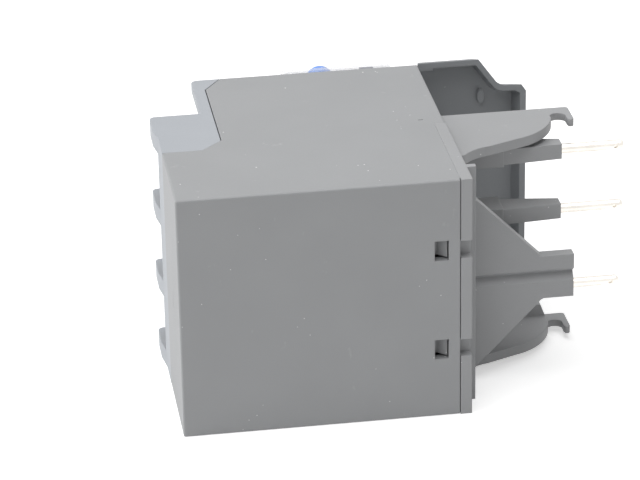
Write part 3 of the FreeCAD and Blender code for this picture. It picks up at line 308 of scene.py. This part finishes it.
def dust_specks(shader, where):
    """Single white dust grains, thicker in some patches than in others."""
    cells = shader.add("TexVoronoi", feature="F1")
    shader.feed(where, cells.inputs["Vector"])
    shader.feed(DUST_CELLS, cells.inputs["Scale"])
    chance = shader.add("SeparateColor")
    shader.feed(cells.outputs["Color"], chance.inputs["Color"])
    size = shader.spread(chance.outputs["Green"], 0.0, 1.0, *DUST_SPECK)
    speck = shader.maths("LESS_THAN", cells.outputs["Distance"], size)
    patch = shader.spread(shader.noise(where, DUST_PATCH), 0.50, 0.66, *DUST_CHANCE)
    kept = shader.maths("LESS_THAN", chance.outputs["Red"], patch)
    return shader.maths("MULTIPLY", shader.maths("MULTIPLY", speck, kept), DUST_SHARE)


def scuffs(shader, where):
    """Faint pale rub marks a few millimetres across."""
    rub = shader.noise(shader.stretch(where, SCUFF_STRETCH), SCUFF_SIZE, detail=4.0, rough=0.7)
    return shader.maths("MULTIPLY", shader.spread(rub, 0.66, 0.80), SCUFF_SHARE)


def polished_plastic(name, colour):
    """Glossy moulding with very faint waviness."""
    shader = Shader(name)
    wave = shader.noise(shader.place(), POLISHED_WAVE, detail=1.0)
    rough = shader.spread(wave, 0.3, 0.7, POLISHED_ROUGH * 0.8, POLISHED_ROUGH * 1.3)
    shader.finish(shader.blend(wave, shade(colour, POLISHED_SHADE), colour), rough)
    shader.feed(POLISHED_COAT, shader.surface.inputs["Coat Weight"])
    shader.feed(0.08, shader.surface.inputs["Coat Roughness"])
    shader.bump(wave, depth=0.004, strength=0.5, radius=0.12)
    return shader.material


def metal(name, colour, rough, streak=(1.0, 1.0, 1.0)):
    """Bare or plated metal with fine drawn or rolled lines and a little tarnish."""
    shader = Shader(name)
    where = shader.place()
    line = shader.noise(shader.stretch(where, streak), LINE_SIZE, detail=3.0, rough=0.6)
    tarnish = shader.spread(shader.noise(where, TARNISH_SIZE, detail=3.0), 0.35, 0.7)
    line_rough = shader.spread(line, 0.25, 0.75, rough * 0.75, rough * 1.25)
    shader.finish(shader.blend(tarnish, colour, shade(colour, TARNISH_SHADE)), line_rough)
    shader.feed(1.0, shader.surface.inputs["Metallic"])
    shader.bump(line, LINE_DEPTH, strength=0.6, radius=0.06)
    return shader.material


def clear_plastic(name, tint):
    """Clear polycarbonate, a little milky, so that its edges stay pale."""
    shader = Shader(name)
    haze = shader.noise(shader.place(), HAZE_SIZE)
    rough = shader.spread(haze, 0.3, 0.7, 0.05, 0.12)
    shader.finish(shader.blend(haze, tint, shade(tint, HAZE_SHADE)), rough)
    shader.feed(CLEAR_COVER_SHARE, shader.surface.inputs["Alpha"])
    shader.feed(CLEAR_COVER_IOR, shader.surface.inputs["IOR"])
    shader.feed(0.5, shader.surface.inputs["Coat Weight"])
    shader.feed(0.04, shader.surface.inputs["Coat Roughness"])
    return shader.material


def woven_sleeve(name, colour):
    """Woven glass sleeving round a heater winding."""
    shader = Shader(name)
    weave = shader.add("TexWave", wave_type="BANDS", bands_direction="DIAGONAL")
    shader.feed(shader.place(), weave.inputs["Vector"])
    shader.feed(WEAVE_SCALE, weave.inputs["Scale"])
    shader.feed(WEAVE_WAVINESS, weave.inputs["Distortion"])
    base = shader.blend(weave.outputs["Fac"], shade(colour, WEAVE_SHADE), colour)
    shader.finish(base, WEAVE_ROUGH)
    shader.bump(weave.outputs["Fac"], WEAVE_DEPTH, strength=0.8)
    return shader.material


# ---- materials of the nodes ------------------------------------------------------------------


def finishes():
    """The material of each of the record's slots."""
    along_x = (LINE_STRETCH, 1.0, 1.0)
    along_z = (1.0, 1.0, LINE_STRETCH)
    return {
        "housing_grey": moulded_plastic("housing_plastic", HOUSING_GREY),
        "front_grey": moulded_plastic("front_plastic", FRONT_GREY, dust=0.4),
        "frame_grey": moulded_plastic("frame_plastic", FRAME_GREY, dust=0.6),
        # darker copy of the housing grey: painted shade on the pin guard
        "shroud_grey": moulded_plastic("shroud_plastic_painted_shade", SHROUD_SHADED_GREY, dust=0.4),
        "tinned_copper": metal("tinned_copper", (0.95, 0.905, 0.84), 0.30, along_x),
        "clear_plastic": clear_plastic("clear_polycarbonate", (0.94, 0.95, 0.99)),
        "blue_plastic": polished_plastic("blue_moulding", (0.10, 0.30, 0.90)),
        "red_plastic": polished_plastic("red_moulding", (0.62, 0.03, 0.03)),
        "dark_plastic": moulded_plastic("dark_moulding", (0.22, 0.22, 0.25), dust=0.0),
        "white_plastic": moulded_plastic("dial_moulding", (0.72, 0.72, 0.70), dust=0.0),
        "flag_orange": moulded_plastic("flag_moulding", (0.8, 0.26, 0.03), dust=0.0),
        "slide_plastic": moulded_plastic("slide_moulding", (0.55, 0.51, 0.42), dust=0.0),
        "insulation": moulded_plastic("phenolic_plate", (0.20, 0.09, 0.04), dust=0.0),
        "spring_steel": metal("spring_steel", (0.56, 0.56, 0.55), 0.28, along_z),
        "bimetal": metal("rolled_bimetal", (0.50, 0.46, 0.41), 0.35, along_x),
        "glass_sleeve": woven_sleeve("glass_sleeving", (0.72, 0.70, 0.64)),
        "copper": metal("drawn_copper", (0.86, 0.45, 0.30), 0.26, along_x),
        "plated_steel": metal("zinc_plate", (0.66, 0.66, 0.62), 0.30),
    }


def dress_nodes(frame):
    """Give every CAD node the material of its slot."""
    materials = finishes()
    slots = {row["node"]: row["material_slot"] for row in frame["record"]["subparts"]}
    for name, node in frame["nodes"].items():
        node.data.materials.clear()
        node.data.materials.append(materials[slots[name]])


# ---- mouldings that get finer forms than their CAD solids ------------------------------------


def drawing_corner():
    """Where the relay's drawing starts: along 0, deep 0 and up 0."""
    low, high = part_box("rear_housing")
    return Vector((high.x, high.y, low.z))


def refine(frame, node, name, move):
    """Replace a CAD moulding by a welded copy whose corners are moved by a rule.

    The rule takes and gives millimetres along from the load end, deep from the back face and up
    from the resting side.
    """
    corner = drawing_corner()
    mesh = frame["nodes"][node].data.copy()
    if "custom_normal" in mesh.attributes:
        mesh.attributes.remove(mesh.attributes["custom_normal"])
    form = bmesh.new()
    form.from_mesh(mesh)
    bmesh.ops.remove_doubles(form, verts=form.verts, dist=WELD * MM)
    for vertex in form.verts:
        place = (vertex.co - corner) / MM
        along, deep, up = move(-place.x, -place.y, place.z)
        vertex.co = corner + Vector((-along, -deep, up)) * MM
    for face in form.faces:
        face.smooth = True
    form.to_mesh(mesh)
    form.free()
    mesh.set_sharp_from_angle(angle=SHARP_ANGLE)
    piece = add_object(name, mesh)
    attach(piece, "relay")
    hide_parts(node)
    return piece


def add_object(name, data):
    """Put a mesh, a light or a camera into the scene as an object."""
    thing = bpy.data.objects.new(name, data)
    bpy.context.scene.collection.objects.link(thing)
    return thing


def lean_guard(along, deep, up):
    """Lean the guard's side walls further in towards its front, and stretch the gate mark."""
    if along > GUARD_START:
        lean = max(deep - GUARD_BACK, 0) * GUARD_LEAN
        up += lean if up < RELAY_MIDDLE else -lean
        if along > GUARD_END_WALL:
            along -= lean
    from_gate = (along - GATE_ALONG, up - GATE_UP)
    if math.hypot(*from_gate) < GATE_RADIUS and deep > GATE_DEEP:
        along = GATE_ALONG + from_gate[0] * GATE_SHARE_ALONG
        up = GATE_UP + from_gate[1] * GATE_SHARE_UP
    return along, deep, up


def deepen_groove(along, deep, up):
    """Move the foot of the web's groove deeper and higher, so that its upper side is steep."""
    if abs(deep - GROOVE_FOOT[0]) < NEAR and abs(up - GROOVE_FOOT[1]) < NEAR:
        deep, up = GROOVE_DEEP_FOOT
    return along, deep, up


def round_step(along, deep, up):
    """Widen the small round on the front corner of the step at the load end."""
    from_along, from_deep = along - STEP_CORNER[0], deep - STEP_CORNER[1]
    if from_along < STEP_ROUND + NEAR and abs(from_deep) < STEP_ROUND + NEAR:
        along = STEP_CORNER[0] + from_along * STEP_WIDENING
        deep = STEP_CORNER[1] + from_deep * STEP_WIDENING
    return along, deep, up


def recess_terminals(piece):
    """Set the face of the auxiliary terminals back between its partitions."""
    cutter = add_object("recess", recess_boxes())
    cut = piece.modifiers.new("recess", "BOOLEAN")
    cut.operation = "DIFFERENCE"
    cut.solver = "EXACT"
    cut.object = cutter
    evaluated = piece.evaluated_get(bpy.context.evaluated_depsgraph_get())
    mesh = bpy.data.meshes.new_from_object(evaluated)
    piece.modifiers.clear()
    piece.data = mesh
    mesh.set_sharp_from_angle(angle=SHARP_ANGLE)
    bpy.data.objects.remove(cutter)


def recess_boxes():
    """Mesh of one box at each auxiliary terminal, which leaves thin partitions between them."""
    form = bmesh.new()
    size = Vector((length(RECESS_ALONG), length(RECESS_DEEP), RECESS_TALL)) * MM
    for place in range(RECESS_COUNT):
        up = RELAY_MIDDLE + RECESS_PITCH * (place - (RECESS_COUNT - 1) / 2)
        middle = Vector((-sum(RECESS_ALONG) / 2, -sum(RECESS_DEEP) / 2, up)) * MM
        cube = bmesh.ops.create_cube(form, size=1.0)
        bmesh.ops.scale(form, vec=size, verts=cube["verts"])
        bmesh.ops.translate(form, vec=drawing_corner() + middle, verts=cube["verts"])
    mesh = bpy.data.meshes.new("recess")
    form.to_mesh(mesh)
    form.free()
    return mesh


def length(span):
    """Distance between the two ends of a span."""
    return span[1] - span[0]


def refine_mouldings(frame):
    """Replace the three mouldings whose forms go further than their CAD solids."""
    refine(frame, "terminal_shroud", "pin_guard", lean_guard)
    refine(frame, "docking_frame", "end_frame", deepen_groove)
    recess_terminals(refine(frame, "front_housing", "terminal_moulding", round_step))


# ---- camera, light and floor -----------------------------------------------------------------


def set_camera():
    """Long lens that looks down at the back of the relay."""
    data = bpy.data.cameras.new("camera")
    data.lens = CAMERA_LENS
    data.sensor_width = CAMERA_SENSOR
    data.clip_start = CAMERA_NEAR
    camera = add_object("camera", data)
    right = CAMERA_LOOK.cross(CAMERA_UP).normalized()
    up = right.cross(CAMERA_LOOK).normalized()
    turn = Matrix((right, up, -CAMERA_LOOK.normalized())).transposed().to_4x4()
    camera.matrix_world = Matrix.Translation(CAMERA_PLACE) @ turn
    bpy.context.scene.camera = camera


def add_softbox(name, place, aim, side, power):
    """Square area light that faces a point."""
    data = bpy.data.lights.new(name, "AREA")
    data.shape = "SQUARE"
    data.size = side
    data.energy = power
    light = add_object(name, data)
    light.location = place
    light.rotation_euler = (Vector(aim) - Vector(place)).to_track_quat("-Z", "Y").to_euler()


def set_world():
    """Even sky that lights softly and is seen and mirrored as white."""
    world = bpy.data.worlds.new("studio")
    bpy.context.scene.world = world
    world.use_nodes = True
    tree = world.node_tree
    sky = tree.nodes["Background"]
    sky.inputs["Color"].default_value = (1, 1, 1, 1)
    path = tree.nodes.new("ShaderNodeLightPath")
    seen = seen_ray(tree, path)
    level = tree.nodes.new("ShaderNodeMapRange")
    level.inputs["To Min"].default_value = SKY_LEVEL
    level.inputs["To Max"].default_value = 1.0
    tree.links.new(seen, level.inputs["Value"])
    tree.links.new(level.outputs["Result"], sky.inputs["Strength"])


def seen_ray(tree, path):
    """1 for rays from the camera, mirrored rays and rays through clear plastic."""
    total = path.outputs["Is Camera Ray"]
    for name in ("Is Glossy Ray", "Is Transmission Ray"):
        add = tree.nodes.new("ShaderNodeMath")
        add.operation = "ADD"
        add.use_clamp = True
        tree.links.new(total, add.inputs[0])
        tree.links.new(path.outputs[name], add.inputs[1])
        total = add.outputs["Value"]
    return total


def add_floor(low):
    """Wide white floor at the height of the lowest point, a little lifted for the camera."""
    bpy.ops.mesh.primitive_plane_add(size=FLOOR_SIDE, location=(0, 0, low))
    floor = bpy.context.object
    floor.name = "floor"
    material = bpy.data.materials.new("floor_white")
    material.use_nodes = True
    tree = material.node_tree
    surface = tree.nodes["Principled BSDF"]
    surface.inputs["Base Color"].default_value = (FLOOR_WHITE, FLOOR_WHITE, FLOOR_WHITE, 1)
    surface.inputs["Roughness"].default_value = 1.0
    surface.inputs["Specular IOR Level"].default_value = 0.0
    surface.inputs["Emission Color"].default_value = (1, 1, 1, 1)
    path = tree.nodes.new("ShaderNodeLightPath")
    lift = tree.nodes.new("ShaderNodeMath")
    lift.operation = "MULTIPLY"
    lift.inputs[1].default_value = FLOOR_LIFT
    tree.links.new(seen_ray(tree, path), lift.inputs[0])
    tree.links.new(lift.outputs["Value"], surface.inputs["Emission Strength"])
    floor.data.materials.append(material)


def set_stage(low):
    """Overhead softbox and a weaker one at the load end, with the world and the floor."""
    set_world()
    add_floor(low)
    for name, softbox in SOFTBOXES.items():
        add_softbox(name, **softbox)
    bpy.context.scene.view_settings.view_transform = "Standard"


with open("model.json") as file:
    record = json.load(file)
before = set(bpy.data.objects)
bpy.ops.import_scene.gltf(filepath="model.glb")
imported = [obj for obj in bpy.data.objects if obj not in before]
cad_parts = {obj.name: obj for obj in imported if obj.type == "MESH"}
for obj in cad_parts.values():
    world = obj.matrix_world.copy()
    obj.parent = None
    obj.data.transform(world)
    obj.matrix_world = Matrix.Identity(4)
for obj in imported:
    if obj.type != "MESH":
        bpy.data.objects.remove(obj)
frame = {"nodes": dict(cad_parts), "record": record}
cad_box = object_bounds()
set_camera()
set_stage(cad_box[0][2])
dress_nodes(frame)
refine_mouldings(frame)
